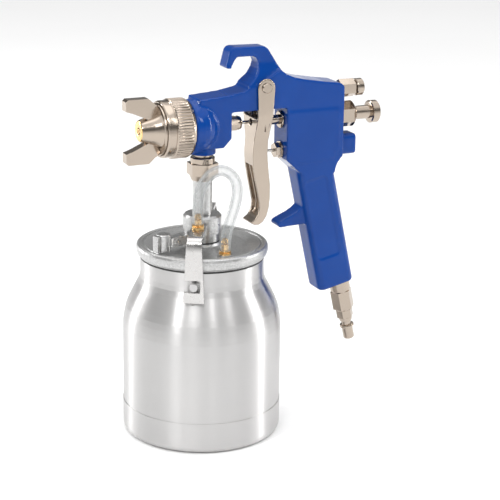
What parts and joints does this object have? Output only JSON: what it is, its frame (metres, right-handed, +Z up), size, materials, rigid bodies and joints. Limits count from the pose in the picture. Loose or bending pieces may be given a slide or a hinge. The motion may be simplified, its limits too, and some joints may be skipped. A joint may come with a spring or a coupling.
{
  "type": "hvlp spray gun",
  "caption": "Hand spray gun with an air cap, trigger, hanging hook and handle air inlet, on a clamped suction paint cup with a clear vent hose.",
  "frame": {"origin": "centre of the paint cup's base, on the surface it stands on", "axes": "+Z up, -X the way the nozzle points, the casting's mid-plane is y = 0"},
  "size_m": [0.185, 0.108, 0.2632],
  "materials": {
    "brushed_aluminium": "polished, fine turning marks",
    "cast_aluminium": "cast, lightly polished",
    "bright_steel": "zinc bright",
    "nickel_plate": "warm nickel plate",
    "stainless": "drawn",
    "brass": "turned",
    "blue_paint": "gloss",
    "black_rubber": "matte",
    "white_ptfe": "matte",
    "clear_hose": "clear soft PVC"
  },
  "bodies": {
    "gun_and_cup": {"cup_body": "brushed_aluminium", "cup_base": "brushed_aluminium", "cup_pins": "brushed_aluminium", "lid_gasket": "black_rubber", "lid": "cast_aluminium", "lid_barb": "brass", "fluid_stem": "cast_aluminium", "stem_locknut": "bright_steel", "pickup_tube": "bright_steel", "hub_seal": "black_rubber", "fluid_nipple": "nickel_plate", "gun_body": "blue_paint", "air_baffle": "nickel_plate", "fluid_nozzle": "brass", "needle_packing": "white_ptfe", "packing_nut": "nickel_plate", "sleeve_gland": "nickel_plate", "needle_spring": "stainless", "fluid_guide": "nickel_plate", "fan_guide": "nickel_plate", "air_valve_nut": "nickel_plate", "air_valve_seat": "brass", "air_valve_spring": "stainless", "pivot_stud": "nickel_plate", "pivot_screw": "nickel_plate", "inlet_adapter": "nickel_plate", "air_plug": "nickel_plate", "vent_hose": "clear_hose"},
    "retaining_ring": {"retaining_ring": "nickel_plate"},
    "air_cap": {"air_cap": "nickel_plate"},
    "coupling_nut": {"coupling_nut": "nickel_plate"},
    "clamp_lever": {"clamp_lever": "cast_aluminium"},
    "yoke": {"yoke_collar": "cast_aluminium", "yoke_strap": "bright_steel", "yoke_barb": "brass"},
    "fluid_needle": {"fluid_needle": "stainless", "needle_sleeve": "nickel_plate"},
    "air_valve": {"air_valve_stem": "stainless"},
    "trigger": {"trigger": "nickel_plate"},
    "fluid_adjuster": {"spring_seat": "stainless"},
    "fluid_knob": {"fluid_knob": "nickel_plate"},
    "fan_needle": {"fan_needle": "stainless"},
    "fan_knob": {"fan_knob": "nickel_plate"}
  },
  "joints": [
    {"name": "trigger_pull", "type": "hinge", "parent": "gun_and_cup", "child": "trigger", "pos_m": [0.0405, 0, 0.236], "axis": [0, -1, 0], "range_deg": [0, 9], "stiffness_Nm_per_rad": 1.2, "springref_deg": -8.59},
    {"name": "needle_slide", "type": "slide", "parent": "gun_and_cup", "child": "fluid_needle", "axis": [1, 0, 0], "range_m": [0, 0.0045], "deforming": ["needle_spring"]},
    {"name": "air_valve_slide", "type": "slide", "parent": "gun_and_cup", "child": "air_valve", "axis": [1, 0, 0], "range_m": [0, 0.0073], "deforming": ["air_valve_spring"]},
    {"name": "fluid_feed", "type": "slide", "parent": "gun_and_cup", "child": "fluid_adjuster", "axis": [-1, 0, 0], "range_m": [0, 0.0045], "deforming": ["needle_spring"]},
    {"name": "fluid_knob_turn", "type": "hinge", "parent": "fluid_adjuster", "child": "fluid_knob", "pos_m": [0.12, 0, 0.2115], "axis": [-1, 0, 0], "range_deg": [0, 1081]},
    {"name": "fan_feed", "type": "slide", "parent": "gun_and_cup", "child": "fan_needle", "axis": [1, 0, 0], "range_m": [0, 0.003]},
    {"name": "fan_knob_turn", "type": "hinge", "parent": "fan_needle", "child": "fan_knob", "pos_m": [0.115, 0, 0.2295], "axis": [1, 0, 0], "range_deg": [0, 721]},
    {"name": "air_cap_turn", "type": "hinge", "parent": "gun_and_cup", "child": "air_cap", "pos_m": [-0.03, 0, 0.2115], "axis": [1, 0, 0], "range_deg": [-90, 90]},
    {"name": "ring_turn", "type": "hinge", "parent": "gun_and_cup", "child": "retaining_ring", "pos_m": [-0.02, 0, 0.2115], "axis": [1, 0, 0], "continuous": true},
    {"name": "coupling_turn", "type": "hinge", "parent": "gun_and_cup", "child": "coupling_nut", "pos_m": [0, 0, 0.183], "axis": [0, 0, 1], "continuous": true},
    {"name": "lever_turn", "type": "hinge", "parent": "gun_and_cup", "child": "clamp_lever", "pos_m": [0, 0, 0.137], "axis": [0, 0, -1], "range_deg": [0, 60.1]},
    {"name": "yoke_drop", "type": "slide", "parent": "gun_and_cup", "child": "yoke", "axis": [0, 0, -1], "range_m": [0, 0.001]}
  ],
  "couplings": [
    {"joint": "needle_slide", "follows": "trigger_pull", "m_per_rad": 0.0275},
    {"joint": "air_valve_slide", "follows": "trigger_pull", "m_per_rad": 0.0455},
    {"joint": "fluid_knob_turn", "follows": "fluid_feed", "rad_per_m": 4188.8},
    {"joint": "fan_knob_turn", "follows": "fan_feed", "rad_per_m": 4188.8},
    {"joint": "lever_turn", "follows": "yoke_drop", "rad_per_m": 1047.2}
  ]
}
